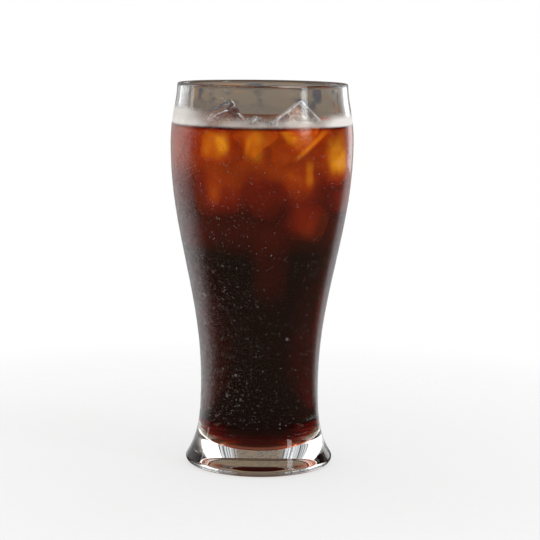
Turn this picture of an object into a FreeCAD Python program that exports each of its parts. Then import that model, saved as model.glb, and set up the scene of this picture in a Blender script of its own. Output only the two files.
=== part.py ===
import FreeCAD
import Part

import os
import re
import Sketcher

# Iced coffee in a waisted, footed beer-type glass.
# Frame: millimetres, +Z up, the origin on the glass's axis in the plane of its contact ring.
# Every node is a turned or moulded piece of its own: the glass, the coffee that fills its bore up
# to the liquid level, and the four ice cubes whose tips break that level.

# ---------------------------------------------------------------- driving dimensions
# Lengths in mm, angles in degrees. A "share" is the part of a span that a curve's handle takes.
SIZES = {
    # glass, outside: four stations on the wall, from the table up
    "glass_height": 168.0,
    "contact_radius": 30.3,      # outer edge of the flat ring that the glass stands on
    "contact_width": 3.2,
    "heel_radius": 32.25,        # where the rounded heel turns into the flare of the foot
    "heel_height": 3.3,
    "heel_run": 1.5,
    "waist_radius": 26.0,
    "waist_height": 36.3,
    "belly_radius": 39.9,
    "belly_drop": 26.6,          # from the lip down to the widest place
    "rim_radius": 37.1,
    # glass, inside
    "rim_wall": 1.9,
    "belly_wall": 2.3,
    "waist_wall": 3.0,
    "floor_height": 5.8,         # thickness of the solid foot on the axis
    "floor_dish": 2.4,           # how far the bore's side pole stands above the floor
    "floor_inset": 3.0,          # how far the floor's flat pole stays inside the waist's bore
    "punt_depth": 2.4,           # hollow under the foot, flat but for its rounded border
    # shape of the wall's curves
    "flare_lean": 4.7,
    "flare_lift": 7.9,
    "heel_share": 0.17,
    "punt_share": 0.8,
    "waist_under_share": 0.53,
    "waist_over_share": 0.374,
    "belly_under_share": 0.36,
    "belly_over_share": 0.51,
    "lip_lean": 0.35,
    "lip_reach": 9.0,
    "lip_share": 2.0 / 3.0,      # makes the lip's single cubic a half round of the wall's width
    # contents
    "headroom": 17.8,            # from the lip down to the liquid level
    "ice_side": 22.0,
    "ice_melt": 1.8,             # radius of the melted edges
    "ice_draft": 3.0,            # taper that lets a cube leave its mould
    "ice_wall_gap": 0.4,         # ice stays this far inside the bore
}

# Ice cubes that break the surface. Kept is the share of the mould's side that hasn't melted; across
# (+X) and deep (+Y, away from the viewer) place the cube's middle in mould sides from the axis, so
# that the cubes keep apart at any size of mould; sink is how far, in the same sides, the middle lies
# under the liquid level; turn, lean and tip are the cube's yaw, pitch and roll.
CUBES = {
    "ice_left": {
        "kept": 1.0, "across": -0.745, "deep": 0.20, "sink": 0.236, "turn": 6, "lean": -27, "tip": 5,
    },
    "ice_middle": {
        "kept": 0.568, "across": -0.10, "deep": -1.227, "sink": 0.15, "turn": -45, "lean": -30, "tip": 30,
    },
    "ice_right": {
        "kept": 0.795, "across": 0.673, "deep": -0.691, "sink": 0.059, "turn": 20, "lean": -38, "tip": -14,
    },
    "ice_back": {
        "kept": 0.864, "across": 0.614, "deep": 0.909, "sink": 0.318, "turn": -40, "lean": -26, "tip": 22,
    },
}


# ---------------------------------------------------------------- document and sheet
doc = FreeCAD.newDocument("iced_coffee")
sheet = doc.addObject("Spreadsheet::Sheet", "Sizes")
next_row = 1


def add_size(alias, value):
    """One row of the sheet: the size's name, and its value under that name as an alias."""
    global next_row
    sheet.set(f"A{next_row}", alias)
    sheet.set(f"B{next_row}", repr(float(value)))
    sheet.setAlias(f"B{next_row}", alias)
    next_row += 1


for size_name, size_value in SIZES.items():
    add_size(size_name, size_value)
for cube_name, cube in CUBES.items():
    for key, cube_value in cube.items():
        add_size(f"{cube_name}_{key}", cube_value)
doc.recompute()


def sized(words):
    """An expression on the sheet, from plain size names and numbers."""
    return re.sub(r"\b[a-z]\w*", r"Sizes.\g<0>", words)


# ---------------------------------------------------------------- sketched sections
def plane(body, role):
    """One of the body's own origin planes."""
    return next(f for f in body.Origin.OriginFeatures if f.Role == role)


def place_point(sketch, geo, pos, across, up):
    """Bind a point of the sketch to two expressions; a zero puts it on the axis itself."""
    for words, kind, axis in ((across, "DistanceX", -2), (up, "DistanceY", -1)):
        if words == "0":
            sketch.addConstraint(Sketcher.Constraint("PointOnObject", geo, pos, axis))
        else:
            value = float(sketch.evalExpression(sized(words)))
            index = sketch.addConstraint(Sketcher.Constraint(kind, -1, 1, geo, pos, value))
            sketch.setExpression(f"Constraints[{index}]", sized(words))


def add_cubic(sketch, points):
    """One cubic curve, with a construction circle on each of its four poles."""
    curve = Part.BSplineCurve()
    curve.buildFromPolesMultsKnots(points, [4, 4], [0, 1], False, 3)
    geo = sketch.addGeometry(curve, False)
    first_pole = None
    poles = []
    for number, point in enumerate(points):
        pole = sketch.addGeometry(Part.Circle(point, FreeCAD.Vector(0, 0, 1), 1), True)
        if first_pole is None:
            first_pole = pole
            sketch.addConstraint(Sketcher.Constraint("Weight", pole, 1.0))
        else:
            sketch.addConstraint(Sketcher.Constraint("Equal", first_pole, pole))
        sketch.addConstraint(
            Sketcher.Constraint("InternalAlignment:Sketcher::BSplineControlPoint", pole, 3, geo, number)
        )
        poles.append(pole)
    return geo, poles


def section(body, name, start, spans):
    """Closed outline in the body's XZ plane, from a start corner through one span after another.

    A corner or pole is a pair of expressions, (radius, height). A span of one pair is a straight line
    to it, and one of three pairs is a cubic curve with two handles and an end. The last span returns
    to the start corner.
    """
    sketch = body.newObject("Sketcher::SketchObject", name)
    sketch.AttachmentSupport = [(plane(body, "XZ_Plane"), "")]
    sketch.MapMode = "FlatFace"
    doc.recompute()

    def at(pair):
        return FreeCAD.Vector(*[float(sketch.evalExpression(sized(words))) for words in pair], 0)

    corner = at(start)
    first_geo = None
    last_geo = None
    for number, span in enumerate(spans):
        points = [corner] + [at(pair) for pair in span]
        closing = number == len(spans) - 1
        if len(span) == 1:
            geo = sketch.addGeometry(Part.LineSegment(*points), False)
        else:
            geo, poles = add_cubic(sketch, points)
            for pole, pair in zip(poles[1:3], span):
                place_point(sketch, pole, 3, *pair)
        if first_geo is None:
            first_geo = geo
            place_point(sketch, geo, 1, *start)
        else:
            sketch.addConstraint(Sketcher.Constraint("Coincident", last_geo, 2, geo, 1))
        if closing:
            sketch.addConstraint(Sketcher.Constraint("Coincident", geo, 2, first_geo, 1))
        else:
            place_point(sketch, geo, 2, *span[-1])
        last_geo = geo
        corner = points[-1]
    doc.recompute()
    return sketch


def turned(body, name, sketch, kind="PartDesign::Revolution"):
    """The section turned once round the body's upright axis, added or cut away."""
    feature = body.newObject(kind, name)
    feature.Profile = sketch
    feature.ReferenceAxis = (sketch, ["V_Axis"])
    feature.Angle = 360
    doc.recompute()
    return feature


# ---------------------------------------------------------------- stations of the wall
BELLY_HEIGHT = "(glass_height - belly_drop)"
LIP_HEIGHT = "(glass_height - rim_wall / 2)"
LEVEL = "(glass_height - headroom)"


def wall_spans(waist_in, belly_in, rim_in):
    """The wall's two long cubics, waist to belly and belly to lip, from the waist up.

    Each argument is how far the curve lies inside the outer wall at that station, so the outside,
    the bore and the ice's room are the same two curves at three depths.
    """
    waist = f"waist_radius - {waist_in}"
    belly = f"belly_radius - {belly_in}"
    rim = f"rim_radius - {rim_in}"
    rise = f"({BELLY_HEIGHT} - waist_height)"
    neck = f"({LIP_HEIGHT} - {BELLY_HEIGHT})"
    return [
        [
            (waist, f"waist_height + waist_over_share * {rise}"),
            (belly, f"{BELLY_HEIGHT} - belly_under_share * {rise}"),
            (belly, BELLY_HEIGHT),
        ],
        [
            (belly, f"{BELLY_HEIGHT} + belly_over_share * {neck}"),
            (f"{rim} + lip_lean", f"{LIP_HEIGHT} - lip_reach"),
            (rim, LIP_HEIGHT),
        ],
    ]


def reversed_spans(start, spans):
    """The same run of curves walked the other way, as its new start corner and its spans."""
    pairs = [start] + [pair for span in spans for pair in span]
    pairs.reverse()
    backwards = []
    taken = 0
    for span in reversed(spans):
        backwards.append(pairs[taken + 1:taken + 1 + len(span)])
        taken += len(span)
    return pairs[0], backwards


def bore(clearance):
    """The bore from the middle of its floor up to the lip, shrunk all round by a clearance.

    The floor is one bowl-shaped cubic that leaves the axis level and joins the waist upright.
    """
    waist = f"waist_radius - waist_wall - {clearance}"
    floor = f"floor_height + {clearance}"
    start = ("0", floor)
    spans = [
        [
            (f"{waist} - floor_inset", floor),
            (waist, f"{floor} + floor_dish"),
            (waist, "waist_height"),
        ]
    ]
    spans += wall_spans(
        f"waist_wall - {clearance}", f"belly_wall - {clearance}", f"rim_wall - {clearance}"
    )
    return start, spans


# ---------------------------------------------------------------- glass
def make_glass():
    """One pressed piece, turned from one closed section.

    Up the outside: the contact ring, the rounded heel, the flare of the foot into the waist, the long
    swell to the belly and the turn in to the rim. Over the half-round lip, and down the inside: the
    bore and its bowl-shaped floor. Under the foot: the shallow punt inside the contact ring.
    """
    body = doc.addObject("PartDesign::Body", "glass")
    punt_radius = "(contact_radius - contact_width)"
    flare = "(waist_height - heel_height)"
    under_foot = [
        [
            (f"punt_share * {punt_radius}", "punt_depth"),
            (f"punt_share * {punt_radius}", "0"),
            (punt_radius, "0"),
        ],
        [("contact_radius", "0")],
        [
            ("contact_radius + heel_run", "0"),
            ("heel_radius + heel_share * flare_lean", "heel_height - heel_share * flare_lift"),
            ("heel_radius", "heel_height"),
        ],
        [
            ("heel_radius - flare_lean", "heel_height + flare_lift"),
            ("waist_radius", f"waist_height - waist_under_share * {flare}"),
            ("waist_radius", "waist_height"),
        ],
    ]
    lip_top = f"{LIP_HEIGHT} + lip_share * rim_wall"
    lip = [
        ("rim_radius", lip_top),
        ("rim_radius - rim_wall", lip_top),
        ("rim_radius - rim_wall", LIP_HEIGHT),
    ]
    _, down_the_bore = reversed_spans(*bore("0"))
    outline = under_foot + wall_spans("0", "0", "0") + [lip] + down_the_bore + [[("0", "punt_depth")]]
    profile = section(body, "glass_section", ("0", "punt_depth"), outline)
    turned(body, "glass_turned", profile)
    return body


# ---------------------------------------------------------------- room inside the glass
def make_fill(name, clearance, top):
    """The bore's inside as a solid, cut off level at a height, by a groove that clears the whole wall."""
    body = doc.addObject("PartDesign::Body", name)
    start, spans = bore(clearance)
    profile = section(body, f"{name}_section", start, spans + [[("0", LIP_HEIGHT)], [start]])
    turned(body, f"{name}_turned", profile)
    beyond = "(belly_radius + rim_radius)"
    over = "(glass_height + rim_wall)"
    above = section(
        body,
        f"{name}_above",
        ("0", top),
        [[(beyond, top)], [(beyond, over)], [("0", over)], [("0", top)]],
    )
    turned(body, f"{name}_level", above, "PartDesign::Groove")
    return body


# ---------------------------------------------------------------- ice
def make_cube(name):
    """A moulded cube: a square drawn up with draft, about the cube's middle, and melted at every edge."""
    body = doc.addObject("PartDesign::Body", f"{name}_block")
    square = body.newObject("Sketcher::SketchObject", f"{name}_square")
    square.AttachmentSupport = [(plane(body, "XY_Plane"), "")]
    square.MapMode = "FlatFace"
    side = f"({name}_kept * ice_side)"
    square.setExpression("AttachmentOffset.Base.z", sized(f"-{side} / 2"))
    half = float(square.evalExpression(sized(f"{side} / 2")))
    corners = [FreeCAD.Vector(x * half, y * half, 0) for x, y in ((-1, -1), (1, -1), (1, 1), (-1, 1))]
    for number in range(4):
        square.addGeometry(Part.LineSegment(corners[number], corners[(number + 1) % 4]), False)
    for number in range(4):
        square.addConstraint(Sketcher.Constraint("Coincident", number, 2, (number + 1) % 4, 1))
        square.addConstraint(Sketcher.Constraint(("Horizontal", "Vertical")[number % 2], number))
    square.addConstraint(Sketcher.Constraint("Symmetric", 0, 1, 1, 2, -1, 1))
    for number, kind in ((0, "DistanceX"), (1, "DistanceY")):
        index = square.addConstraint(Sketcher.Constraint(kind, number, 1, number, 2, 2 * half))
        square.setExpression(f"Constraints[{index}]", sized(side))
    block = body.newObject("PartDesign::Pad", f"{name}_pad")
    block.Profile = square
    block.setExpression("Length", sized(side))
    block.setExpression("TaperAngle", sized("-ice_draft"))
    doc.recompute()
    melted = body.newObject("PartDesign::Fillet", f"{name}_melted")
    melted.Base = (block, [f"Edge{number + 1}" for number in range(len(block.Shape.Edges))])
    melted.setExpression("Radius", sized("ice_melt"))
    body.setExpression("Placement.Base.x", sized(f"{name}_across * ice_side"))
    body.setExpression("Placement.Base.y", sized(f"{name}_deep * ice_side"))
    body.setExpression("Placement.Base.z", sized(f"{LEVEL} - {name}_sink * ice_side"))
    body.setExpression("Placement.Rotation.Yaw", sized(f"{name}_turn"))
    body.setExpression("Placement.Rotation.Pitch", sized(f"{name}_lean"))
    body.setExpression("Placement.Rotation.Roll", sized(f"{name}_tip"))
    doc.recompute()
    return body


def keep_in_room(name, cube, room):
    """The cube as far as the glass leaves room for it: ice that meets the wall melts back from it."""
    kept = doc.addObject("Part::Common", name)
    kept.Base = cube
    kept.Tool = room
    doc.recompute()
    return kept


def make_coffee(fill, ice):
    """The coffee: what fills the bore up to the level, cut round the cubes that float in it."""
    floating = doc.addObject("Part::Compound", "floating_ice")
    floating.Links = ice
    coffee = doc.addObject("Part::Cut", "coffee")
    coffee.Base = fill
    coffee.Tool = floating
    doc.recompute()
    return coffee


# ---------------------------------------------------------------- assembly
glass = make_glass()
ice_room = make_fill("ice_room", "ice_wall_gap", LIP_HEIGHT)
ice_nodes = [keep_in_room(name, make_cube(name), ice_room) for name in CUBES]
coffee = make_coffee(make_fill("coffee_fill", "0", LEVEL), ice_nodes)
nodes = [glass, coffee] + ice_nodes
doc.recompute()


# ---------------------------------------------------------------- checks and files
def check_document():
    """Stop before anything is written if an object failed or a node isn't one valid solid."""
    for item in doc.Objects:
        if "Invalid" in item.State or "Error" in item.State:
            raise RuntimeError(f"{item.Label} failed: {item.State}")
        if item.isDerivedFrom("Sketcher::SketchObject") and not item.FullyConstrained:
            raise RuntimeError(f"{item.Label} is not fully constrained")
    for node in nodes:
        shape = node.Shape
        if shape.isNull() or not shape.isValid() or len(shape.Solids) != 1:
            raise RuntimeError(f"{node.Label} is not one valid solid")


check_document()
os.makedirs("parts", exist_ok=True)
for node in nodes:
    node.Shape.exportStep(f"parts/{node.Label}.step")
    box = node.Shape.optimalBoundingBox()
    print(
        f"{node.Label}: {node.Shape.Volume / 1000:.1f} cm3,",
        f"X {box.XMin:.1f} to {box.XMax:.1f}, Y {box.YMin:.1f} to {box.YMax:.1f},",
        f"Z {box.ZMin:.1f} to {box.ZMax:.1f}",
    )
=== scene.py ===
import bpy
import numpy as np
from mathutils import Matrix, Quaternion, Vector


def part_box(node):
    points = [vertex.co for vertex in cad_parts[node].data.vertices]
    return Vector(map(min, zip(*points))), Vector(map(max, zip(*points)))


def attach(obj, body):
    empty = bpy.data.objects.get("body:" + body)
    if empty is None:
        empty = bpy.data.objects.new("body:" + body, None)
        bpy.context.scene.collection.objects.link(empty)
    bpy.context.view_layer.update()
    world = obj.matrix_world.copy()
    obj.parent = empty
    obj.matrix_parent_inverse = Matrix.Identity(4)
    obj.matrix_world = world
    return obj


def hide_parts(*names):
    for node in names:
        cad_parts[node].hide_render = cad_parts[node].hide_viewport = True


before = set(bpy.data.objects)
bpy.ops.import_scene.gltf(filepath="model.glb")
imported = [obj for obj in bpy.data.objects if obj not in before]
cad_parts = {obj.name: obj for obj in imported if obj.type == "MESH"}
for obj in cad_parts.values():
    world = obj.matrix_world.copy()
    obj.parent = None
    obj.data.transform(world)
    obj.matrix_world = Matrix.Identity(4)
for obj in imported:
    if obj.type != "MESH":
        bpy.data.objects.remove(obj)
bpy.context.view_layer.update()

# ---------------------------------------------------------------------------------------------
# Glass. One pressed piece of clear soda-lime glass: a solid flared foot over a shallow punt, a
# waist, a long swell to the belly, and a rim that turns in a little under a fire-polished lip.
# Its wall is a run of cubic curves turned once round the axis, the bore a wall's thickness inside.
MM = 0.001
glass_low, glass_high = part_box("glass")
GLASS_HEIGHT = glass_high[2] - glass_low[2]
BELLY_RADIUS = (glass_high[0] - glass_low[0]) / 2
RIM_RADIUS = BELLY_RADIUS - 2.8 * MM
WAIST_RADIUS = BELLY_RADIUS - 13.9 * MM
HEEL_RADIUS = BELLY_RADIUS - 7.65 * MM
CONTACT_RADIUS = HEEL_RADIUS - 1.95 * MM
PUNT_RADIUS = CONTACT_RADIUS - 3.2 * MM
PUNT_DEPTH = 0.6 * MM
HEEL_HEIGHT = 3.3 * MM
WAIST_HEIGHT = 36.3 * MM
BELLY_HEIGHT = GLASS_HEIGHT - 26.6 * MM
RIM_WALL = 1.9 * MM
BELLY_WALL = 2.3 * MM
WAIST_WALL = 3.0 * MM
FLOOR_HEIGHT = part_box("coffee")[0][2]
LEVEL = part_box("coffee")[1][2]
LIP_HEIGHT = GLASS_HEIGHT - RIM_WALL / 2
# how far the wall's tangents reach at the waist, under the belly and over it, as shares of the rise
WAIST_PULL = 0.374
BELLY_PULL = 0.36
TURN_PULL = 0.51
# points round the glass, and rings along each curve of its section
AROUND = 256
PUNT_RINGS = 20
HEEL_RINGS = 12
FOOT_RINGS = 30
SWELL_RINGS = 44
TURN_IN_RINGS = 20
LIP_RINGS = 12
BORE_RINGS = 34
FOOT_START = PUNT_RINGS + HEEL_RINGS
LIP_START = FOOT_START + FOOT_RINGS + SWELL_RINGS + TURN_IN_RINGS


def cubic(poles, steps):
    """A cubic curve through its first and last pole, sampled evenly in its parameter t.

    Each point is (1-t)^3 p0 + 3 (1-t)^2 t p1 + 3 (1-t) t^2 p2 + t^3 p3; the last one is left off,
    because the next curve starts there.
    """
    t = np.linspace(0, 1, steps, endpoint=False)[:, None]
    p = np.array(poles)
    return (1 - t) ** 3 * p[0] + 3 * (1 - t) ** 2 * t * p[1] + 3 * (1 - t) * t ** 2 * p[2] + t ** 3 * p[3]


def wall_poles(waist_in, belly_in, rim_in):
    """The wall's two cubics, waist to belly and belly to lip, set in from the outside at each station."""
    waist, belly, rim = WAIST_RADIUS - waist_in, BELLY_RADIUS - belly_in, RIM_RADIUS - rim_in
    rise, neck = BELLY_HEIGHT - WAIST_HEIGHT, LIP_HEIGHT - BELLY_HEIGHT
    swell = [
        (waist, WAIST_HEIGHT),
        (waist, WAIST_HEIGHT + WAIST_PULL * rise),
        (belly, BELLY_HEIGHT - BELLY_PULL * rise),
        (belly, BELLY_HEIGHT),
    ]
    turn_in = [
        (belly, BELLY_HEIGHT),
        (belly, BELLY_HEIGHT + TURN_PULL * neck),
        (rim + 0.35 * MM, LIP_HEIGHT - 9 * MM),
        (rim, LIP_HEIGHT),
    ]
    return swell, turn_in


def bore_poles(outset):
    """The bore from the middle of its floor up to the lip, grown by an outset into the wall."""
    waist = WAIST_RADIUS - WAIST_WALL + outset
    floor = FLOOR_HEIGHT - outset
    bowl = [(0, floor), (waist - 3 * MM, floor), (waist, floor + 2.4 * MM), (waist, WAIST_HEIGHT)]
    return [bowl, *wall_poles(WAIST_WALL - outset, BELLY_WALL - outset, RIM_WALL - outset)]


def glass_profile():
    """The closed section, from the axis under the foot, up the outside, over the lip, to the floor."""
    flare = WAIST_HEIGHT - HEEL_HEIGHT
    punt = [
        (0, PUNT_DEPTH),
        (0.8 * PUNT_RADIUS, PUNT_DEPTH),
        (0.8 * PUNT_RADIUS, 0),
        (PUNT_RADIUS, 0),
    ]
    heel = [
        (CONTACT_RADIUS, 0),
        (CONTACT_RADIUS + 1.5 * MM, 0),
        (HEEL_RADIUS + 0.8 * MM, HEEL_HEIGHT - 1.34 * MM),
        (HEEL_RADIUS, HEEL_HEIGHT),
    ]
    foot = [
        (HEEL_RADIUS, HEEL_HEIGHT),
        (HEEL_RADIUS - 4.7 * MM, HEEL_HEIGHT + 7.9 * MM),
        (WAIST_RADIUS, WAIST_HEIGHT - 0.53 * flare),
        (WAIST_RADIUS, WAIST_HEIGHT),
    ]
    top = LIP_HEIGHT + RIM_WALL * 2 / 3
    lip = [
        (RIM_RADIUS, LIP_HEIGHT),
        (RIM_RADIUS, top),
        (RIM_RADIUS - RIM_WALL, top),
        (RIM_RADIUS - RIM_WALL, LIP_HEIGHT),
    ]
    swell, turn_in = wall_poles(0, 0, 0)
    outside = [
        cubic(punt, PUNT_RINGS),
        cubic(heel, HEEL_RINGS),
        cubic(foot, FOOT_RINGS),
        cubic(swell, SWELL_RINGS),
        cubic(turn_in, TURN_IN_RINGS),
        cubic(lip, LIP_RINGS),
    ]
    inside = [cubic(poles[::-1], BORE_RINGS) for poles in reversed(bore_poles(0))]
    return np.vstack(outside + inside + [[(0, FLOOR_HEIGHT)]])


def turned(profile, around):
    """A profile of (radius, height) carried once round the axis.

    The point at angle a is (r cos a, r sin a, z). Both ends of the profile lie on the axis, where
    each is one point closed by a fan. Returns the points and the faces, which look outwards.
    """
    angle = np.linspace(0, 2 * np.pi, around, endpoint=False)
    rings = profile[1:-1]
    grid = np.empty((len(rings), around, 3))
    grid[:, :, 0] = rings[:, :1] * np.cos(angle)
    grid[:, :, 1] = rings[:, :1] * np.sin(angle)
    grid[:, :, 2] = rings[:, 1:]
    points = np.vstack([grid.reshape(-1, 3), [(0, 0, profile[0, 1])], [(0, 0, profile[-1, 1])]])
    index = np.arange(len(rings) * around).reshape(len(rings), around)
    step = np.roll(index, -1, axis=1)
    quads = np.stack([index[:-1], step[:-1], step[1:], index[1:]], axis=-1).reshape(-1, 4)
    first, last = len(points) - 2, len(points) - 1
    start = np.stack([np.full(around, first), step[0], index[0]], axis=-1)
    end = np.stack([np.full(around, last), index[-1], step[-1]], axis=-1)
    return points, quads.tolist() + start.tolist() + end.tolist()


def in_scene(name, data):
    """A new object in the scene, for a mesh, a lamp or a camera."""
    thing = bpy.data.objects.new(name, data)
    bpy.context.scene.collection.objects.link(thing)
    return thing


def new_piece(name, points, faces, material, slot, *nodes):
    """A smooth mesh piece that rides on the one body, and stands for the named CAD nodes, if any."""
    mesh = bpy.data.meshes.new(name)
    mesh.from_pydata(np.asarray(points).tolist(), [], faces)
    mesh.shade_smooth()
    mesh.materials.append(material)
    piece = in_scene(name, mesh)
    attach(piece, "root")
    if nodes:
        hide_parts(*nodes)
    return piece


def paint(piece, name, values):
    """A number at each point of a piece, under the name by which its material reads it."""
    marks = piece.data.attributes.new(name, "FLOAT", "POINT")
    marks.data.foreach_set("value", np.asarray(values, dtype=np.float32))


class Wire:
    """One socket of a material's nodes; arithmetic on wires and numbers adds the Math nodes."""

    def __init__(self, tree, socket=None):
        self.tree = tree
        self.socket = socket

    def node(self, kind, settings=None, inputs=None, out=0):
        """Any node: its kind, its settings, its inputs by name or number, and the output wanted."""
        made = self.tree.nodes.new("ShaderNode" + kind)
        for key, value in (settings or {}).items():
            if key == "stops":
                ramp = made.color_ramp.elements
                while len(ramp) < len(value):
                    ramp.new(0.5)
                for stop, (place, colour) in zip(ramp, value):
                    stop.position = place
                    stop.color = (*colour, 1)
            else:
                setattr(made, key, value)
        for key, value in (inputs or {}).items():
            if isinstance(value, Wire):
                self.tree.links.new(value.socket, made.inputs[key])
            else:
                made.inputs[key].default_value = value
        return Wire(self.tree, made.outputs[out])

    def math(self, operation, *values, clamp=False):
        return self.node("Math", {"operation": operation, "use_clamp": clamp}, dict(enumerate(values)))

    def __add__(self, other):
        return self.math("ADD", self, other)

    def __radd__(self, other):
        return self.math("ADD", other, self)

    def __sub__(self, other):
        return self.math("SUBTRACT", self, other)

    def __rsub__(self, other):
        return self.math("SUBTRACT", other, self)

    def __mul__(self, other):
        return self.math("MULTIPLY", self, other)

    def __rmul__(self, other):
        return self.math("MULTIPLY", other, self)

    def __truediv__(self, other):
        return self.math("DIVIDE", self, other)

    def __pow__(self, other):
        return self.math("POWER", self, other)

    def ease(self, low, high):
        """0 below low, 1 above high, and a smooth step between them."""
        limits = {0: self, 1: low, 2: high, 3: 0.0, 4: 1.0}
        return self.node("MapRange", {"interpolation_type": "SMOOTHSTEP"}, limits)

    def blend(self, low, high):
        """Two colours mixed by this wire: the first at 0, the second at 1."""
        return self.node("Mix", {"data_type": "RGBA"}, {0: self, 6: low, 7: high}, out=2)

    def parts(self, vector):
        """The x, y and z of a vector, as three wires."""
        return [self.node("SeparateXYZ", {}, {0: vector}, out=number) for number in range(3)]

    def attribute(self, name):
        """The number that a piece's points carry under a name."""
        return self.node("Attribute", {"attribute_name": name}, out=2)


def new_material(name):
    """An empty node material: the material, its output node and a wire to build on."""
    material = bpy.data.materials.new(name)
    material.use_nodes = True
    tree = material.node_tree
    tree.nodes.clear()
    return material, tree.nodes.new("ShaderNodeOutputMaterial"), Wire(tree)


def principled(wire, output, inputs):
    """A Principled surface on the output, from constants and wires by socket name."""
    surface = wire.node("BsdfPrincipled", {}, inputs)
    wire.tree.links.new(surface.socket, output.inputs["Surface"])
    return surface


GLASS_CLEAR = (0.985, 0.995, 0.99, 1)
MIST_WHITE = (0.85, 0.81, 0.77, 1)
MIST_LOW = 24 * MM
MIST_HIGH = LEVEL + 5 * MM
MIST_LEFT_RISE = 3 * MM
MIST_RAGGED_FOOT = 16 * MM
MIST_RAGGED_TOP = 3 * MM
# how white the mist is: on the two sides, where it is painted whiter as if the windows lit it, all round,
# and over the liquid, where it is more at a slant, and along the line where the liquid ends
FOG_PAINTED_LIGHT_LEFT = 0.36
FOG_PAINTED_LIGHT_RIGHT = 0.20
FOG_ROUND = 0.008
FOG_OVER = 0.09
FOG_SLANT = 0.70
FOG_LINE = 0.48


def sideways(across, deep):
    """How far round from the viewer's side a place is: x / sqrt(x^2 + y^2), from -1 left to 1 right."""
    return across / (across * across + deep * deep) ** 0.5


def mist_mask(wire, here, height, aside, outside):
    """Where the cold drink has misted the outside: from above the foot to just over the liquid.

    The band's ends are feathered and ragged, it reaches higher on the left, and a slow noise leaves
    it patchy.
    """
    ragged = wire.node("TexNoise", {}, {"Vector": here, "Scale": 55.0, "Detail": 3.0}) - 0.5
    low = height + ragged * MIST_RAGGED_FOOT
    high = height + ragged * MIST_RAGGED_TOP - (0.0 - aside).ease(0.3, 0.9) * MIST_LEFT_RISE
    begun = low.ease(MIST_LOW - 10 * MM, MIST_LOW + 14 * MM)
    ended = high.ease(MIST_HIGH - 2 * MM, MIST_HIGH + 1.5 * MM)
    patch = wire.node("TexNoise", {}, {"Vector": here, "Scale": 38.0, "Detail": 2.0}).ease(0.3, 0.62)
    return begun * (1 - ended) * outside * (0.45 + 0.55 * patch)


def fog_mask(wire, here, height, aside):
    """How white the mist is: in tiny grains down the sides, painted whiter there as if the windows on the
    left and right lit them, and in a smooth band over the liquid.

    Seen at a slant the band is thicker, so it whitens towards the glass's edges. It is whitest, and
    uneven, in a line along the liquid.
    """
    above = height.ease(LEVEL - 0.2 * MM, LEVEL + 1.2 * MM)
    left = (0.0 - aside).ease(0.6, 0.97)
    right = aside.ease(0.86, 1.0)
    grain = wire.node("TexVoronoi", {}, {"Vector": here, "Scale": 850.0})
    grains = 1 - grain.ease(0.15, 0.42)
    # painted light: the mist's grains are whiter at the left and right edges, as if lit by the windows
    # there
    sides = (FOG_PAINTED_LIGHT_LEFT * left + FOG_PAINTED_LIGHT_RIGHT * right) * (0.15 + 0.85 * grains) + FOG_ROUND * grains
    slant = wire.node("LayerWeight", {}, {"Blend": 0.5}, out=1).ease(0.08, 0.55)
    uneven = wire.node("TexNoise", {}, {"Vector": here, "Scale": 60.0, "Detail": 3.0}).ease(0.36, 0.6)
    line = (1 - height.ease(LEVEL + 1.0 * MM, LEVEL + 5.2 * MM)) * (0.35 + 0.65 * uneven)
    over = FOG_OVER + FOG_SLANT * slant + FOG_LINE * line
    return (1 - above) * sides + above * over


def clear_glass():
    """Clear glass, blurred and whitened where it is misted, and pebbled there but for its right side; the
    mist's whitening is painted stronger at the left and right edges, as if lit there.
    """
    material, output, wire = new_material("clear_glass")
    here = wire.node("TexCoord", out=3)
    across, deep, height = wire.parts(here)
    aside = sideways(across, deep)
    mist = mist_mask(wire, here, height, aside, wire.attribute("outside"))
    wet = mist * (1 - 0.95 * aside.ease(0.3, 0.7))
    fine = wire.node("TexVoronoi", {"feature": "SMOOTH_F1"}, {"Vector": here, "Scale": 2100.0})
    large = wire.node("TexVoronoi", {"feature": "SMOOTH_F1"}, {"Vector": here, "Scale": 900.0})
    swollen = 0.55 - large
    beads = swollen.math("MAXIMUM", swollen, 0.0) + 0.4 * (0.55 - fine)
    surface = {
        "Base Color": GLASS_CLEAR,
        "IOR": 1.52,
        "Transmission Weight": 1.0,
        "Roughness": 0.01 + 0.1 * mist,
        "Normal": wire.node("Bump", {}, {"Strength": 0.7, "Distance": 0.25 * MM, "Height": beads * wet}),
    }
    glassy = principled(wire, output, surface)
    white = wire.node("BsdfDiffuse", {}, {"Color": MIST_WHITE, "Roughness": 0.5})
    fog = mist * fog_mask(wire, here, height, aside)
    fogged = wire.node("MixShader", {}, {0: fog, 1: glassy, 2: white})
    wire.tree.links.new(fogged.socket, output.inputs["Surface"])
    return material


profile = glass_profile()
glass_points, glass_faces = turned(profile, AROUND)
glass = new_piece("drinking_glass", glass_points, glass_faces, clear_glass(), "clear_glass", "glass")
outside = np.zeros(len(glass_points))
outside[: (LIP_START + LIP_RINGS // 2 - 1) * AROUND] = 1
paint(glass, "outside", outside)

# ---------------------------------------------------------------------------------------------
# Condensation. Beads of water that the cold wall draws out of the air, from above the foot to the
# liquid's level, thickest on the side that the room's damp air reaches. Each is a low round cap.
BEADS = 5400
BIG_BEADS = 16
BEAD_SIDES = 8
BEAD_FLATNESS = 0.5
BEAD_BASE = 0.03 * MM
SIZE_SEED = 3
SMALL_SEED = 21
BIG_SEED = 22
WATER_CLEAR = (1.0, 1.0, 1.0, 1)
# the white of the beads' painted highlight
WATER_PAINTED_HIGHLIGHT = (0.85, 0.86, 0.88, 1)


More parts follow.
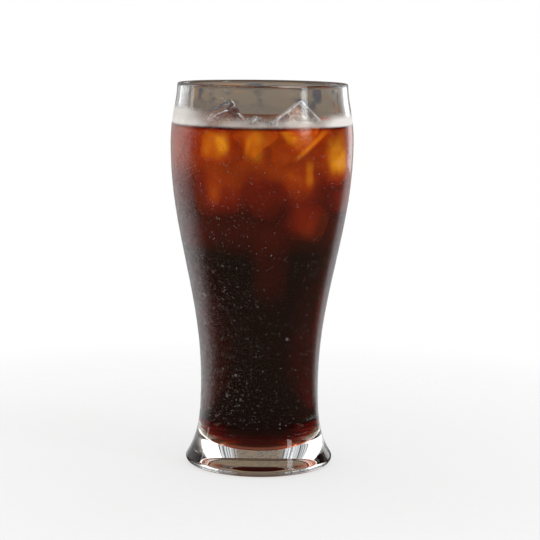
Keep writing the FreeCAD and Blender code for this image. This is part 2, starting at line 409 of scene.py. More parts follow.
def bead_centres(count, low, high, seed):
    """Random places on the outer wall: the points there, the wall's normals and two tangents.

    The wall's radius r(z) is read off the section. The normal in the section is (1, -dr/dz), made
    unit length. A place is kept where a random number is under 0.35 + 0.65 s, where s is 1 on the
    left and 0 on the right.
    """
    dice = np.random.default_rng(seed)
    wall = profile[FOOT_START:LIP_START]
    height = dice.uniform(low, high, 3 * count)
    turn = dice.uniform(0, 2 * np.pi, 3 * count)
    keep = dice.uniform(0, 1, 3 * count) < 0.35 + 0.65 * np.clip(-np.cos(turn) * 1.6 + 0.2, 0, 1)
    height, turn = height[keep][:count], turn[keep][:count]
    radius = np.interp(height, wall[:, 1], wall[:, 0])
    slope = (np.interp(height + MM, wall[:, 1], wall[:, 0]) - radius) / MM
    normal = np.stack([np.cos(turn), np.sin(turn), -slope], axis=-1)
    normal /= np.linalg.norm(normal, axis=1, keepdims=True)
    along = np.stack([-np.sin(turn), np.cos(turn), 0 * turn], axis=-1)
    up = np.cross(normal, along)
    places = np.stack([radius * np.cos(turn), radius * np.sin(turn), height], axis=-1)
    return places, normal, along, up


def bead_caps(places, normal, along, up, size):
    """A cap at each place, as an array of points and one of faces for all of them.

    Each has a foot ring and a closed base a little inside the wall, a belt ring at 0.74 of its
    radius and two thirds of its height, and a top at its radius times the flatness.
    """
    turn = np.linspace(0, 2 * np.pi, BEAD_SIDES, endpoint=False)
    around = along[:, None] * np.cos(turn)[None, :, None] + up[:, None] * np.sin(turn)[None, :, None]
    out = normal[:, None] * np.ones((1, BEAD_SIDES, 1))
    size = size[:, None, None]
    foot = places[:, None] + around * size - out * BEAD_BASE
    belt = places[:, None] + around * size * 0.74 + out * size * 0.67 * BEAD_FLATNESS
    top = places[:, None] + normal[:, None] * size * BEAD_FLATNESS
    base = places[:, None] - normal[:, None] * BEAD_BASE
    points = np.concatenate([foot, belt, top, base], axis=1)
    ring = np.arange(BEAD_SIDES)
    after = (ring + 1) % BEAD_SIDES
    sides = np.stack([ring, after, after + BEAD_SIDES, ring + BEAD_SIDES], axis=-1)
    crown = np.stack([ring + BEAD_SIDES, after + BEAD_SIDES, 0 * ring + 2 * BEAD_SIDES], axis=-1)
    under = np.stack([after, ring, 0 * ring + 2 * BEAD_SIDES + 1], axis=-1)
    start = np.arange(len(places))[:, None, None] * points.shape[1]
    faces = []
    for cells in (sides, crown, under):
        faces += (cells[None] + start).reshape(-1, cells.shape[1]).tolist()
    return points.reshape(-1, 3), faces


def water_beads():
    """Clear water, with a little white diffuse mixed in at random as a painted highlight, so that each
    bead shows as a faint white dot.
    """
    material, output, wire = new_material("water_beads")
    here = wire.node("TexCoord", out=3)
    speckle = wire.node("TexNoise", {}, {"Vector": here, "Scale": 300.0, "Detail": 2.0})
    surface = {
        "Base Color": WATER_CLEAR,
        "IOR": 1.333,
        "Transmission Weight": 1.0,
        "Roughness": 0.02 + 0.06 * speckle,
    }
    clear = principled(wire, output, surface)
    painted_highlight = wire.node("BsdfDiffuse", {}, {"Color": WATER_PAINTED_HIGHLIGHT})
    # painted highlight: a small share of white diffuse makes each bead a faint white dot
    bead = wire.node("MixShader", {}, {0: 0.02 + 0.16 * speckle, 1: clear, 2: painted_highlight})
    wire.tree.links.new(bead.socket, output.inputs["Surface"])
    return material


dice = np.random.default_rng(SIZE_SEED)
small = bead_centres(BEADS, MIST_LOW - 4 * MM, LEVEL + 1 * MM, SMALL_SEED)
big = bead_centres(BIG_BEADS, MIST_LOW, LEVEL - 30 * MM, BIG_SEED)
# radii: many of 0.13 mm and fewer up to 0.35 mm, and the big ones
bead_sizes = np.concatenate([
    (0.13 + 0.22 * dice.uniform(0, 1, len(small[0])) ** 2.5) * MM,
    dice.uniform(0.55, 0.95, len(big[0])) * MM,
])
bead_points, bead_faces = bead_caps(*[np.vstack(pair) for pair in zip(small, big)], bead_sizes)
new_piece("condensation", bead_points, bead_faces, water_beads(), "clear_glass")

# ---------------------------------------------------------------------------------------------
# Ice. Cubes of clear ice from one mould, melted further the smaller they are: edges and corners
# gone round and some chipped, faces rippled, and hearts clouded by air. Four float with their tips
# out of the liquid, and the rest are sunk below them.
MELT = 1.8 * MM
DRAFT = np.tan(np.radians(3))
# depth and length of the slow ripple and of the fine one
RIPPLE = 0.38 * MM
RIPPLE_LENGTH = 15 * MM
FINE_RIPPLE = 0.12 * MM
FINE_LENGTH = 4.5 * MM
WAVES = 14
FACE_GRID = 30
FLOATING_SEED = 10
# the sunk cubes are melted by a share of their side
SUNK_ROUND = 0.3
SUNK_GRID = 18
SUNK_SEED = 40


def ripple(points, seed, wave):
    """A smooth random relief between about -1 and 1: a sum of sines of the place along random ways."""
    dice = np.random.default_rng(seed)
    ways = dice.normal(size=(WAVES, 3))
    ways /= np.linalg.norm(ways, axis=1, keepdims=True)
    lengths = wave * dice.uniform(0.6, 1.6, WAVES)
    phases = dice.uniform(0, 2 * np.pi, WAVES)
    return np.sin(points @ (ways / lengths[:, None]).T * 2 * np.pi + phases).sum(axis=1) / 5


def cube_grid(count):
    """The six faces of a cube of half-side 1 as one closed grid: its points, and quads facing out."""
    line = np.tan(np.linspace(-1, 1, count) * np.pi / 4)
    u, v = np.meshgrid(line, line, indexing="ij")
    one = np.ones_like(u)
    sides = [(one, u, v), (-one, v, u), (v, one, u), (u, -one, v), (u, v, one), (v, u, -one)]
    points = np.vstack([np.stack(side, axis=-1).reshape(-1, 3) for side in sides])
    cell = np.arange(count * count).reshape(count, count)
    face = np.stack([cell[:-1, :-1], cell[1:, :-1], cell[1:, 1:], cell[:-1, 1:]], axis=-1).reshape(-1, 4)
    quads = np.vstack([face + side * count * count for side in range(6)])
    rounded = np.round(points, 9)
    unique, back = np.unique(rounded, axis=0, return_inverse=True)
    return unique, back.reshape(-1)[quads]


def melted_cube(side, melt, seed, inset, count):
    """A moulded cube with its corners melted round and a few chipped.

    Each grid point is clamped to a core box, then pushed out by the melt radius along the line from
    the core. A slow ripple and a finer one dent it, and the draft narrows it towards one end. Where a
    point lies beyond a chip's plane it is moved back onto the plane. Last, the inset draws every
    point back along its line from the core.
    """
    unit, quads = cube_grid(count)
    half = side / 2
    core = half - melt
    inner = np.clip(unit * half, -core, core)
    away = unit * half - inner
    length = np.linalg.norm(away, axis=1, keepdims=True)
    flat = length[:, 0] < 1e-9
    away[flat] = unit[flat]
    away /= np.linalg.norm(away, axis=1, keepdims=True)
    points = inner + away * melt
    dent = RIPPLE * ripple(points, seed, RIPPLE_LENGTH)
    dent += FINE_RIPPLE * ripple(points, seed + 1, FINE_LENGTH)
    points = points + away * dent[:, None]
    narrowed = 1 - DRAFT * (points[:, 2] + half) / half
    points[:, :2] *= narrowed[:, None]
    dice = np.random.default_rng(seed + 2)
    corners = np.sign(dice.normal(size=(4, 3))) * dice.uniform(0.45, 1.0, (4, 3))
    corners /= np.linalg.norm(corners, axis=1, keepdims=True)
    for way in corners:
        reach = (points @ way).max() - dice.uniform(0.05, 0.14) * side
        points -= np.maximum(points @ way - reach, 0)[:, None] * way
    return points - away * inset, quads


def turn_matrix(turn, lean, tip):
    """Rotation by a roll about x, then a pitch about y, then a yaw about z, in degrees."""
    a, b, c = np.radians((turn, lean, tip))
    yaw = np.array([[np.cos(a), -np.sin(a), 0], [np.sin(a), np.cos(a), 0], [0, 0, 1]])
    pitch = np.array([[np.cos(b), 0, np.sin(b)], [0, 1, 0], [-np.sin(b), 0, np.cos(b)]])
    roll = np.array([[1, 0, 0], [0, np.cos(c), -np.sin(c)], [0, np.sin(c), np.cos(c)]])
    return yaw @ pitch @ roll


def floating_cube(node, side, angles):
    """A floating cube's middle, side and angles: turned and drafted, it is centred in its node's box."""
    ends = np.array([(-1, -1, -1), (1, -1, -1), (1, 1, -1), (-1, 1, -1)]) * side / 2
    top = ends * [1, 1, -1]
    top[:, :2] *= 1 - 2 * DRAFT
    corners = np.vstack([ends, top]) @ turn_matrix(*angles).T
    low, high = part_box(node)
    middle = (np.array(low) + np.array(high)) / 2 - (corners.min(axis=0) + corners.max(axis=0)) / 2
    return middle, side, angles


FLOATING = {
    "ice_left": floating_cube("ice_left", 22 * MM, (6, -27, 5)),
    "ice_middle": floating_cube("ice_middle", 12.5 * MM, (-45, -30, 30)),
    "ice_right": floating_cube("ice_right", 17.5 * MM, (20, -38, -14)),
    "ice_back": floating_cube("ice_back", 19 * MM, (-40, -26, 22)),
}
# each sunk cube's middle, side, and yaw, pitch and roll
SUNK = {
    "sunk_left": (np.array([-17.1, -21.9, 142.0]) * MM, 13 * MM, (-23, 3, 3)),
    "sunk_right": (np.array([25.8, -7.8, 133.2]) * MM, 15 * MM, (61, -26, 4)),
    "sunk_low_left": (np.array([-16.8, -13.0, 121.9]) * MM, 18 * MM, (-6, -3, 10)),
    "sunk_low_right": (np.array([16.3, -13.9, 110.6]) * MM, 17 * MM, (45, 14, 7)),
    "sunk_small": (np.array([13.5, -19.2, 128.6]) * MM, 12 * MM, (7, 11, 11)),
    "sunk_middle": (np.array([0.7, -19.9, 119.4]) * MM, 13.5 * MM, (-40, 23, -13)),
    "sunk_centre": (np.array([0.5, 2.6, 126.0]) * MM, 19 * MM, (40, -23, 14)),
    "sunk_back": (np.array([-11.4, 21.9, 122.2]) * MM, 18 * MM, (22, 19, -20)),
    "sunk_back_right": (np.array([19.2, 16.1, 119.6]) * MM, 18 * MM, (39, 9, -10)),
    "sunk_deep": (np.array([-1.6, -5.2, 100.8]) * MM, 18 * MM, (54, 18, 19)),
    "sunk_left_deep": (np.array([-16.5, 9.3, 103.8]) * MM, 17 * MM, (24, 22, 8)),
    "sunk_sliver": (np.array([7.8, -27.7, 139.1]) * MM, 8.4 * MM, (-40, -27, 16)),
    "sunk_gap": (np.array([-8.1, -14.0, 136.4]) * MM, 7.4 * MM, (31, 11, -23)),
    "sunk_side": (np.array([27.4, -2.7, 118.1]) * MM, 10 * MM, (-27, 2, -2)),
    "sunk_under": (np.array([14.5, -1.6, 139.2]) * MM, 8.3 * MM, (-17, 28, -14)),
}
# how much of each floating cube's faces is crazed
CRAZED = {"ice_left": 0.22, "ice_middle": 0.3, "ice_right": 0.55, "ice_back": 0.2}
# each cloudy heart's share of its cube's side, where the smallest floating cube has none
HEARTS = {"ice_left": 0.3, "ice_right": 0.6, "ice_back": 0.5}
HEART_ROUND = 0.2
HEART_GRID = 16
HEART_SEED = 70
ICE_CLOUDED = (0.9, 0.93, 0.96, 1)
ICE_CLEAR = (0.985, 0.985, 0.98, 1)
# the white of the painted highlights along the ice's edges, and of its veins
ICE_HIGHLIGHT_AND_VEIN_WHITE = (0.93, 0.94, 0.96, 1)
# the amber of the ice's painted light, in place of light that reaches it through the coffee
ICE_PAINTED_AMBER = (1.0, 0.62, 0.24, 1)
NO_LIGHT = (0, 0, 0, 1)
HEART_THIN = (0.8, 0.8, 0.8, 1)
HEART_THICK = (0.95, 0.94, 0.92, 1)
# the cloudy hearts' painted light, dim where they are thin and bright where they are thick
HEART_PAINTED_DIM = (0.3, 0.25, 0.18, 1)
HEART_PAINTED_LIGHT = (1.0, 0.88, 0.7, 1)


def placed(cube, seed, inset=0.0, count=FACE_GRID, melt=MELT):
    """One cube at its place in the glass."""
    middle, side, angles = cube
    points, quads = melted_cube(side, melt, seed, inset, count)
    return points @ turn_matrix(*angles).T + middle, quads


def floating_cubes(inset):
    """The floating cubes at their places, each drawn in by an inset."""
    return [placed(cube, FLOATING_SEED + number, inset) for number, cube in enumerate(FLOATING.values())]


def sunk_cubes(inset):
    """The sunk cubes at their places, each drawn in by an inset."""
    return [
        placed(cube, SUNK_SEED + number, inset, SUNK_GRID, SUNK_ROUND * cube[1])
        for number, cube in enumerate(SUNK.values())
    ]


def joined(parts):
    """Several point-and-face sets as one."""
    points, faces, start = [], [], 0
    for part_points, part_faces in parts:
        points.append(part_points)
        faces.append(np.asarray(part_faces) + start)
        start += len(part_points)
    return np.vstack(points), np.vstack(faces).tolist()


def points_of(piece):
    """All the points of a piece, as one array."""
    points = np.empty(len(piece.data.vertices) * 3)
    piece.data.vertices.foreach_get("co", points)
    return points.reshape(-1, 3)


def paint_ice_glow(piece):
    """A number at each point for the ice's painted light, in place of the light that the ice carries,
    painted stronger at the top of the heap.

    It is 0.05 + 0.2 clamp((z - 96) / 30), with z in mm, and falls to 0 in the last 3 mm under the
    liquid's level.
    """
    height = points_of(piece)[:, 2] / MM
    glow = 0.05 + 0.20 * np.clip((height - 96) / 30, 0, 1)
    paint(piece, "glow", glow * np.clip((LEVEL / MM - height) / 3, 0, 1))


def paint_edge_highlight_and_veins(piece, cube, crazed):
    """A number at each point out of the liquid that is 1 along the cube's edges, where a white highlight
    is painted, and a smaller one on its faces, which are crazed with white veins.

    In the cube's own frame, with the draft undone, the part of a point that lies beyond the core box
    is turned to unit length. Its second largest component is 0 on a face and 1 / sqrt(2) on an edge.
    """
    middle, side, angles = cube
    points = points_of(piece)
    local = (points - middle) @ turn_matrix(*angles)
    local[:, :2] /= 1 - DRAFT * (local[:, 2:] + side / 2) / (side / 2)
    beyond = np.maximum(np.abs(local) - (side / 2 - MELT), 0)
    beyond /= np.maximum(np.linalg.norm(beyond, axis=1, keepdims=True), 1e-9)
    ridge = np.clip((np.sort(beyond, axis=1)[:, 1] * np.sqrt(2) - 0.45) / 0.5, crazed, 1)
    ridge *= np.clip((points[:, 2] - LEVEL) / MM + 0.5, 0, 1)
    paint(piece, "ridge", ridge)


def ice_material(name, clear, rough, light):
    """Wet ice: clear, with a painted amber light of its own, stronger where fine air clouds it, painted
    white highlights along its edges, and white veins.
    """
    material, output, wire = new_material(name)
    here = wire.node("TexCoord", out=3)
    cloud = wire.node("TexNoise", {}, {"Vector": here, "Scale": 130.0, "Detail": 4.0})
    frost = wire.node("TexNoise", {}, {"Vector": here, "Scale": 420.0, "Detail": 3.0})
    glow = wire.attribute("glow")
    surface = {
        "Base Color": cloud.ease(0.3, 0.7).blend(ICE_CLOUDED, ICE_CLEAR),
        "IOR": 1.31,
        "Transmission Weight": clear,
        "Roughness": rough + 0.1 * cloud.ease(0.5, 0.8),
        "Normal": wire.node("Bump", {}, {"Strength": 0.5, "Distance": 0.5 * MM, "Height": frost}),
        # painted light: the ice gives out amber itself, more where it is cloudy and higher in the heap
        "Emission Color": (glow * (0.1 + 1.8 * cloud)).blend(NO_LIGHT, ICE_PAINTED_AMBER),
        "Emission Strength": light,
    }
    wet = principled(wire, output, surface)
    ridge = wire.attribute("ridge")
    white = wire.node("BsdfDiffuse", {}, {"Color": ICE_HIGHLIGHT_AND_VEIN_WHITE})
    crack = wire.node("TexNoise", {}, {"Vector": here, "Scale": 260.0, "Detail": 3.0}) - 0.5
    vein = 1 - crack.math("ABSOLUTE", crack).ease(0.0, 0.045)
    # painted highlight: white along the edges out of the liquid, and white veins on the crazed faces
    highlight_and_veins = ridge.ease(0.45, 0.9) * (0.2 + 0.9 * cloud) + ridge.ease(0.05, 0.5) * vein * 0.6
    edged = wire.node("MixShader", {}, {0: highlight_and_veins, 1: wet, 2: white})
    wire.tree.links.new(edged.socket, output.inputs["Surface"])
    return material


def heart_material():
    """The cloudy heart of a cube: air frozen in, white where it is thick and open where it is thin, with
    a painted light of its own.
    """
    material, output, wire = new_material("cloudy_heart")
    here = wire.node("TexCoord", out=3)
    thick = wire.node("TexNoise", {}, {"Vector": here, "Scale": 240.0, "Detail": 5.0}).ease(0.4, 0.62)
    surface = {
        "Base Color": thick.blend(HEART_THIN, HEART_THICK),
        "IOR": 1.01,
        "Roughness": 0.8,
        "Alpha": 0.06 + 0.8 * thick,
        # painted light: the heart gives out a warm light of its own
        "Emission Color": thick.blend(HEART_PAINTED_DIM, HEART_PAINTED_LIGHT),
        "Emission Strength": 0.35,
    }
    principled(wire, output, surface)
    return material


# the last number is the strength of each ice's painted light
wet_ice = ice_material("wet_ice", clear=0.97, rough=0.02, light=0.4)
sunk_skin = ice_material("sunk_ice", clear=0.72, rough=0.06, light=0.10)
for node, (points, quads) in zip(FLOATING, floating_cubes(0.0)):
    floating = new_piece("floating_" + node, points, quads.tolist(), wet_ice, "ice", node)
    paint_ice_glow(floating)
    paint_edge_highlight_and_veins(floating, FLOATING[node], CRAZED[node])
sunk_points, sunk_quads = joined(sunk_cubes(0.0))
paint_ice_glow(new_piece("sunk_ice", sunk_points, sunk_quads, sunk_skin, "ice"))
hearts = []
for number, (node, share) in enumerate(HEARTS.items()):
    middle, side, angles = FLOATING[node]
    heart = (middle, share * side, angles)
    hearts.append(placed(heart, HEART_SEED + number, 0.0, HEART_GRID, HEART_ROUND * side))
heart_points, heart_quads = joined(hearts)
new_piece("cloudy_hearts", heart_points, heart_quads, heart_material(), "ice")

# ---------------------------------------------------------------------------------------------
# Coffee. Black coffee poured over the ice, up to its level below the rim. It wets the wall and
# climbs it a little, as it climbs every cube that stands out of it. The liquid reaches just into
# the wall and round each cube just into the ice, so that no film of air is left between them.
INTO_WALL = 0.08 * MM
INTO_ICE = 0.10 * MM
# the climb is this high at the wall, four fifths of it at a cube, and dies away over this length
MENISCUS = 1.0 * MM
CUBE_MENISCUS = 0.8 * MENISCUS
MENISCUS_REACH = 1.7 * MM
# rings along the three curves of the side, over the climb at the wall, and over the rest of the top
BOWL_RINGS = 30
SIDE_RINGS = 96
UPPER_RINGS = 120
CLIMB_WIDTH = 6 * MM
CLIMB_RINGS = 26
TOP_RINGS = 44


def box_distance(points, cube):
    """Distance from points to a cube with rounded edges, in the cube's own frame."""
    middle, side, angles = cube
    local = (points - middle) @ turn_matrix(*angles)
    beyond = np.abs(local) - (side / 2 - MELT)
    outside_part = np.linalg.norm(np.maximum(beyond, 0), axis=1)
    inside_part = np.minimum(beyond.max(axis=1), 0)
    return outside_part + inside_part - MELT


def coffee_surface():
    """The liquid's skin: the bore grown into the wall, then the level top from the wall inwards.

    The top's height is the level plus the highest of the climbs h exp(-d / a), with d the distance
    from the wall and from each floating cube: the curve of a liquid that wets what it meets.
    """
    bowl, swell, turn_in = bore_poles(INTO_WALL)
    side = np.vstack([cubic(bowl, BOWL_RINGS), cubic(swell, SIDE_RINGS), cubic(turn_in, UPPER_RINGS)])
    side = side[side[:, 1] < LEVEL + MENISCUS]
    wall = side[-1, 0]
    climb = np.linspace(0, CLIMB_WIDTH, CLIMB_RINGS)[1:]
    reach = np.concatenate([climb, np.linspace(CLIMB_WIDTH, wall, TOP_RINGS)[1:-1]])
    top = np.stack([wall - reach, np.full(len(reach), LEVEL)], axis=-1)
    outline = np.vstack([side, top, [(0, LEVEL)]])
    points, faces = turned(outline, AROUND)
    is_top = np.zeros(len(points), dtype=bool)
    is_top[(len(side) - 1) * AROUND: (len(outline) - 2) * AROUND] = True
    is_top[-1] = True
    flat = points[is_top]
    from_wall = wall - np.hypot(flat[:, 0], flat[:, 1])
    rise = MENISCUS * np.exp(-from_wall / MENISCUS_REACH)
    for cube in FLOATING.values():
        from_cube = np.maximum(box_distance(flat, cube), 0)
        rise = np.maximum(rise, CUBE_MENISCUS * np.exp(-from_cube / MENISCUS_REACH))
    flat[:, 2] += rise
    points[is_top] = flat
    return points, faces


# Painted light on the coffee's skin, in place of the light that the ice sends out through it, as soft
# patches. Each has its turn from the viewer's side in degrees, its height, half width and half height
# in mm, its slant in degrees, and its strength.
PAINTED_PATCHES = [
    (-31, 143.5, 6.4, 5.6, 0, 0.17), (-26, 144.0, 3.2, 4.2, 8, 0.18), (-29, 138.0, 6.0, 1.4, 0, 0.06),
    (-5, 143.0, 3.9, 6.6, 8, 0.17), (-9.5, 142.0, 1.1, 5.6, -12, 0.12), (9, 146.0, 5.2, 3.4, 0, 0.06),
    (17, 148.0, 2.6, 4.2, 30, 0.24), (27, 146.5, 6.0, 3.4, 32, 0.14), (33, 143.4, 9.5, 1.1, 38, 0.26),
    (57, 138.0, 7.2, 9.2, 10, 0.30), (62, 134.0, 4.0, 5.5, 10, 0.12), (32, 131.0, 2.0, 5.6, 6, 0.20),
    (-25, 124.5, 9.5, 9.0, 0, 0.14), (-33, 122.5, 3.4, 5.0, -10, 0.17), (31, 112.0, 8.0, 6.0, -20, 0.20),
    (14, 131.5, 5.8, 3.0, 0, 0.08), (8, 91.0, 9.0, 14.0, 0, 0.07), (26, 125.5, 8.0, 6.0, 0, 0.16),
    (84, 124.0, 7.0, 8.0, 10, 0.16), (100, 142.0, 6.0, 6.0, 0, 0.30), (128, 140.0, 7.0, 6.0, -15, 0.22),
    (136, 121.0, 8.0, 8.0, 10, 0.18), (160, 143.0, 7.0, 5.0, 20, 0.32), (-172, 136.0, 5.0, 6.0, 0, 0.14),
    (-152, 122.0, 9.0, 8.0, -20, 0.20), (-140, 144.0, 6.0, 5.0, 0, 0.26), (-112, 140.0, 6.0, 7.0, 8, 0.2),
    (-98, 118.0, 7.0, 7.0, 0, 0.13), (-72, 141.0, 4.0, 6.0, 0, 0.08),
]
# the radius in mm at which a patch's width is measured, about that of the belly
PATCH_RADIUS = 38
# the painted ground light's steps: the height in mm at which each starts, how high it reaches, and its
# gain
PAINTED_GROUND = [(96, 10, 0.10), (114, 8, 0.10), (124, 10, 0.22)]
# the painted light along the bottom edge: its height over the floor and half width in mm, how strong
# it is in the middle, and how much more on the left and the right
BOTTOM_HEIGHT = 3.0
BOTTOM_WIDTH = 1.3
PAINTED_BOTTOM_LINE = 0.12
BOTTOM_LEFT = 0.12
BOTTOM_RIGHT = 0.34
# how strong the painted light over the coffee's floor is
PAINTED_FLOOR_LIGHT = 0.08


def paint_skin_glow(piece):
    """A number at each point of the coffee's side for the painted light there, in place of the light that
    comes out.

    Each patch adds s exp(-(u^4 + v^4)), with u and v the place in the patch's own slanted axes over
    its half width and height: a blurred cube's face. The heap of ice adds a dim painted ground, which
    steps up towards the level, and the coffee's thin bottom edge a painted bright line, as if light came
    through the foot, over a dim painted floor. All of it fades out just under the level, and 1.5 mm in
    from the wall.
    """
    points = points_of(piece) / MM
    radius = np.hypot(points[:, 0], points[:, 1])
    turn = np.arctan2(points[:, 0], -points[:, 1])
    height = points[:, 2]
    glow = sum(gain * np.clip((height - start) / step, 0, 1) for start, step, gain in PAINTED_GROUND)
    for turn_0, height_0, wide, tall, slant, strength in PAINTED_PATCHES:
        off = (turn - np.radians(turn_0) + np.pi) % (2 * np.pi) - np.pi
        across, up = off * PATCH_RADIUS, height - height_0
        c, s = np.cos(np.radians(slant)), np.sin(np.radians(slant))
        u = (across * c + up * s) / wide
        v = (up * c - across * s) / tall
        glow += strength * np.exp(-(u ** 4 + v ** 4))
    over_floor = height - FLOOR_HEIGHT / MM
    more = np.where(points[:, 0] > 0, BOTTOM_RIGHT, BOTTOM_LEFT)
    aside = np.clip((np.abs(points[:, 0]) - 6) / 8, 0, 1) * more
    glow += (PAINTED_BOTTOM_LINE + aside) * np.exp(-((over_floor - BOTTOM_HEIGHT) / BOTTOM_WIDTH) ** 2)
    glow += PAINTED_FLOOR_LIGHT * np.exp(-over_floor / 4) * np.clip(over_floor / 2, 0, 1)
    bowl, swell, turn_in = bore_poles(INTO_WALL)
    wall = np.vstack([cubic(bowl, 80), cubic(swell, 120), cubic(turn_in, 60)]) / MM
    inside = np.interp(height, wall[:, 1], wall[:, 0]) - radius
    glow *= np.clip(1 - inside / 1.5, 0, 1) * np.clip((LEVEL / MM - height) / 1.2, 0, 1)
    paint(piece, "glow", glow)


# the colour of the painted light for each amount of it: black, dark red, red, orange and amber
PAINTED_COFFEE_COLOURS = [
    (0.0, (0.0, 0.0, 0.0)),
    (0.12, (0.030, 0.0015, 0.0005)),
    (0.30, (0.105, 0.006, 0.0008)),
    (0.50, (0.225, 0.027, 0.0012)),
    (0.66, (0.36, 0.10, 0.003)),
    (0.82, (0.59, 0.23, 0.008)),
    (1.0, (0.60, 0.30, 0.08)),
]
# in each metre the liquid absorbs its strength times (1 - tint) of each colour
COFFEE_TINT = (0.907, 0.695, 0.0, 1)
COFFEE_STRENGTH = 950.0


def black_coffee():
    """Clear dark liquid: red light goes furthest through it, and a thin layer of it is amber."""
    material, output, wire = new_material("black_coffee")
    here = wire.node("TexCoord", out=3)
    swirl = wire.node("TexNoise", {}, {"Vector": here, "Scale": 90.0, "Detail": 2.0})
    mottle = wire.node("TexNoise", {}, {"Vector": here, "Scale": 240.0, "Detail": 5.0})
    painted_light = wire.attribute("glow") * (0.62 + 0.5 * swirl + 0.3 * mottle)
    surface = {
        "Base Color": (1.0, 1.0, 1.0, 1),
        "IOR": 1.333,
        "Transmission Weight": 1.0,
        "Roughness": 0.004 + 0.012 * swirl,
        # painted light: the coffee's skin gives out dark red to amber, in place of the light from the ice
        "Emission Color": wire.node("ValToRGB", {"stops": PAINTED_COFFEE_COLOURS}, {0: painted_light}),
        "Emission Strength": 1.0,
    }
    principled(wire, output, surface)
    absorbed = wire.node("VolumeAbsorption", {}, {"Color": COFFEE_TINT, "Density": COFFEE_STRENGTH})
    wire.tree.links.new(absorbed.socket, output.inputs["Volume"])
    return material


coffee_points, coffee_faces = coffee_surface()
coffee = new_piece("coffee_liquid", coffee_points, coffee_faces, black_coffee(), "coffee", "coffee")
cut_points, cut_faces = joined(floating_cubes(INTO_ICE) + sunk_cubes(INTO_ICE))
cutter_mesh = bpy.data.meshes.new("room_for_ice")
cutter_mesh.from_pydata(cut_points.tolist(), [], cut_faces)
cutter = in_scene("room_for_ice", cutter_mesh)
cut = coffee.modifiers.new("room_for_ice", "BOOLEAN")
cut.operation = "DIFFERENCE"
cut.solver = "MANIFOLD"
cut.object = cutter
carved = bpy.data.meshes.new_from_object(coffee.evaluated_get(bpy.context.evaluated_depsgraph_get()))
coffee.modifiers.clear()
coffee.data = carved
carved.shade_smooth()
paint_skin_glow(coffee)
bpy.data.objects.remove(cutter)

# ---------------------------------------------------------------------------------------------
# Table, light and camera. A pale table that goes over into the pale room, windows round the glass,
# most of them behind it, and a camera a little above the rim, looking down at the glass's middle.
FLOOR_RADIUS = 1.3
FLOOR_SIDES = 96
TABLE_FADES = 0.09
TABLE_GONE = 0.3
WHITE = (1.0, 1.0, 1.0, 1)
TABLE_BROWN = (0.09, 0.06, 0.045, 1)
# the painted daylight on the table, as glass and gloss show it
TABLE_PAINTED_DAYLIGHT = (0.75, 0.76, 0.78, 1)
# the daylight left and right, in radians from straight behind the glass: where it begins and how
# softly, and where it starts to end and how softly
DAY_LEFT = (-1.40, 0.4, -0.30, 0.12)
DAY_RIGHT = (0.18, 0.12, 0.70, 0.2)


def daylight(turn):
    """1 where the windows stand, 0 elsewhere, from the turn away from straight behind the glass.

    On the left they reach from there nearly round to its side, and on the right about half as far.
    """
    sides = []
    for begin, soft_begin, end, soft_end in (DAY_LEFT, DAY_RIGHT):
        sides.append((turn - begin).ease(0.0, soft_begin) * (1 - (turn - end).ease(0.0, soft_end)))
    return sides[0] + sides[1]


def pale_floor():
    """Matt pale table that keeps the glass's soft shadow and fades to the room's white further off.

    In glass and gloss it shows as the brown table of the dim room, with painted daylight where the
    windows would light it.
    """
    material, output, wire = new_material("pale_table")
    here = wire.node("TexCoord", out=3)
    away = wire.node("VectorMath", {"operation": "LENGTH"}, {0: here}, out=1)
    grain = wire.node("TexNoise", {}, {"Vector": here, "Scale": 260.0, "Detail": 5.0})
    table_top = {
        "Base Color": grain.ease(0.2, 0.8).blend((0.83, 0.83, 0.825, 1), (0.86, 0.86, 0.855, 1)),
        "Roughness": 0.75,
    }
    matt = wire.node("BsdfPrincipled", {}, table_top)
    across, deep = wire.parts(here)[:2]
    # painted light: the table is pale where the windows would light it and brown elsewhere, only as glass
    # and gloss show it
    painted_table_tone = daylight(across.math("ARCTAN2", across, deep)).blend(TABLE_BROWN, TABLE_PAINTED_DAYLIGHT)
    brown = wire.node("Emission", {}, {"Color": painted_table_tone, "Strength": 1.0})
    glossy = wire.node("LightPath", out="Is Glossy Ray")
    through = wire.node("LightPath", out="Is Transmission Ray")
    mirrored = glossy.math("MAXIMUM", glossy, through)
    white = wire.node("Emission", {}, {"Color": WHITE, "Strength": 1.0})
    seen = wire.node("LightPath", out="Is Camera Ray")
    pale = wire.node("MixShader", {}, {0: 0.6 * seen, 1: matt, 2: white})
    shown = wire.node("MixShader", {}, {0: mirrored, 1: pale, 2: brown})
    gone = wire.node("BsdfTransparent")
    table = wire.node("MixShader", {}, {0: away.ease(TABLE_FADES, TABLE_GONE), 1: shown, 2: gone})
    wire.tree.links.new(table.socket, output.inputs["Surface"])
    return material


angle = np.linspace(0, 2 * np.pi, FLOOR_SIDES, endpoint=False)
rim = np.stack([FLOOR_RADIUS * np.cos(angle), FLOOR_RADIUS * np.sin(angle), 0 * angle], axis=-1)
floor_mesh = bpy.data.meshes.new("pale_table")
floor_mesh.from_pydata(rim.tolist(), [], [list(range(FLOOR_SIDES))])
floor_mesh.materials.append(pale_floor())
floor = in_scene("pale_table", floor_mesh)


# the room as glass and gloss show it: the wall and its patches, the windows' panes and the bars
# between them, the dim side where the viewer is, the ceiling, and what lies below, without and with
# daylight on it
WALL_TAUPE = (0.27, 0.22, 0.17, 1)
WALL_SLATE = (0.12, 0.12, 0.13, 1)
WALL_WARM = (0.36, 0.23, 0.14, 1)
PANE = (0.85, 0.86, 0.86, 1)
PANE_BAR = (0.12, 0.12, 0.13, 1)
DIM_SIDE = (0.03, 0.026, 0.025, 1)
CEILING = (0.25, 0.25, 0.26, 1)
LOW_BROWN = (0.10, 0.07, 0.05, 1)
LOW_DAYLIT = (0.6, 0.61, 0.63, 1)
# the light that matt surfaces get from the room
ROOM_LIGHT = (0.9, 0.9, 0.9, 1)


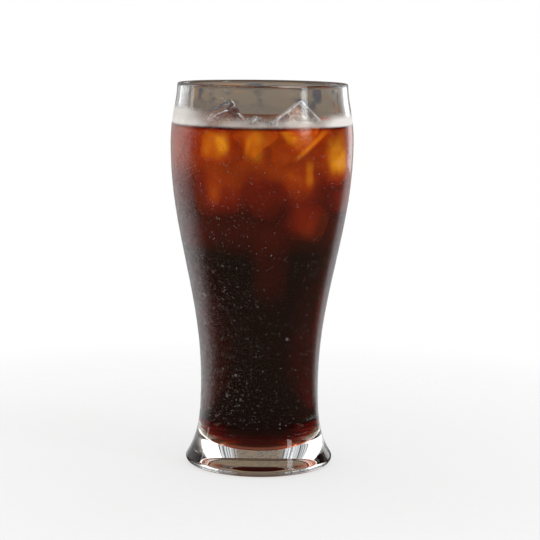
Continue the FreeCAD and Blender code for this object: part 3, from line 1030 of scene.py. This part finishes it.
def pale_room():
    """The room round the glass: white to look at, and plain near-white to what scatters light.

    In glass and gloss it is a taupe wall behind, windows either side of its middle, and dim on the
    viewer's side.
    """
    world = bpy.data.worlds.new("pale_room")
    world.use_nodes = True
    tree = world.node_tree
    tree.nodes.clear()
    wire = Wire(tree)
    output = tree.nodes.new("ShaderNodeOutputWorld")
    way = wire.node("TexCoord", out=0)
    across, deep, up = wire.parts(way)
    turn = across.math("ARCTAN2", across, deep)
    panes = wire.node("TexNoise", {"noise_dimensions": "1D"}, {"W": turn * 7.0, "Detail": 2.0})
    window = panes.ease(0.38, 0.58).blend(PANE_BAR, PANE)
    blot = wire.node("TexNoise", {}, {"Vector": way, "Scale": 34.0, "Detail": 2.0})
    warm = wire.node("TexNoise", {}, {"Vector": way, "Scale": 21.0, "Detail": 1.0})
    patched = blot.ease(0.5, 0.62).blend(WALL_TAUPE, WALL_SLATE)
    wall = warm.ease(0.52, 0.68).blend(patched, WALL_WARM)
    day = daylight(turn)
    behind = deep.ease(0.45, 0.8).blend(DIM_SIDE, wall)
    room = day.blend(behind, window)
    over = up.ease(0.5, 0.95).blend(room, CEILING)
    below = day.blend(LOW_BROWN, LOW_DAYLIT)
    mirrored = (0.0 - up).ease(0.02, 0.25).blend(over, below)
    bounces = wire.node("LightPath", out="Diffuse Depth")
    scattered = bounces.math("GREATER_THAN", bounces, 0.5)
    plain = scattered.blend(mirrored, ROOM_LIGHT)
    shown = wire.node("LightPath", out="Is Camera Ray").blend(plain, WHITE)
    background = wire.node("Background", {}, {"Color": shown, "Strength": 1.0})
    tree.links.new(background.socket, output.inputs["Surface"])
    bpy.context.scene.world = world


WINDOW_TALL = 1.2
BLUE_DAY = (0.93, 0.97, 1.0)
PALE_DAY = (0.97, 0.98, 1.0)
# each window's turn from the viewer's side in degrees, its distance, height and width in metres, its
# watts and tint, and whether the glass mirrors it
WINDOWS = {
    "window_right": (57, 1.6, 0.80, 0.26, 4.0, BLUE_DAY, True),
    "window_left": (-134, 1.7, 0.5, 0.9, 3.6, PALE_DAY, False),
    "window_left_near": (-108, 1.8, 0.5, 0.12, 0.9, PALE_DAY, True),
    "window_back_right": (147, 1.7, 0.5, 0.6, 2.6, PALE_DAY, True),
}


def facing(thing, place, target, roll=0.0):
    """Stands a lamp or camera at a place, looking at the target and rolled by some degrees."""
    thing.location = place
    aim = Vector(target) - Vector(place)
    thing.rotation_mode = "QUATERNION"
    thing.rotation_quaternion = aim.to_track_quat("-Z", "Y") @ Quaternion((0, 0, 1), np.radians(roll))


pale_room()
for name, (azimuth, distance, height, width, power, tint, mirrored) in WINDOWS.items():
    lamp = bpy.data.lights.new(name, "AREA")
    lamp.shape = "RECTANGLE"
    lamp.size = width
    lamp.size_y = WINDOW_TALL
    lamp.energy = power
    lamp.color = tint
    window = in_scene(name, lamp)
    turn = np.radians(azimuth)
    place = (np.sin(turn) * distance, -np.cos(turn) * distance, height)
    facing(window, place, (0, 0, GLASS_HEIGHT / 2))
    window.visible_glossy = mirrored

CAMERA_PLACE = (0, -0.760, 0.196)
CAMERA_TARGET = (0.0041, 0, 0.0858)
CAMERA_ROLL = 0.69
BOUNCES = 24
camera_data = bpy.data.cameras.new("camera")
camera_data.sensor_width = 36
camera_data.lens = 116
camera = in_scene("camera", camera_data)
facing(camera, CAMERA_PLACE, CAMERA_TARGET, CAMERA_ROLL)
bpy.context.scene.camera = camera
bpy.context.scene.view_settings.view_transform = "Standard"
bpy.context.scene.cycles.max_bounces = BOUNCES
bpy.context.scene.cycles.transmission_bounces = BOUNCES
bpy.context.scene.cycles.transparent_max_bounces = BOUNCES
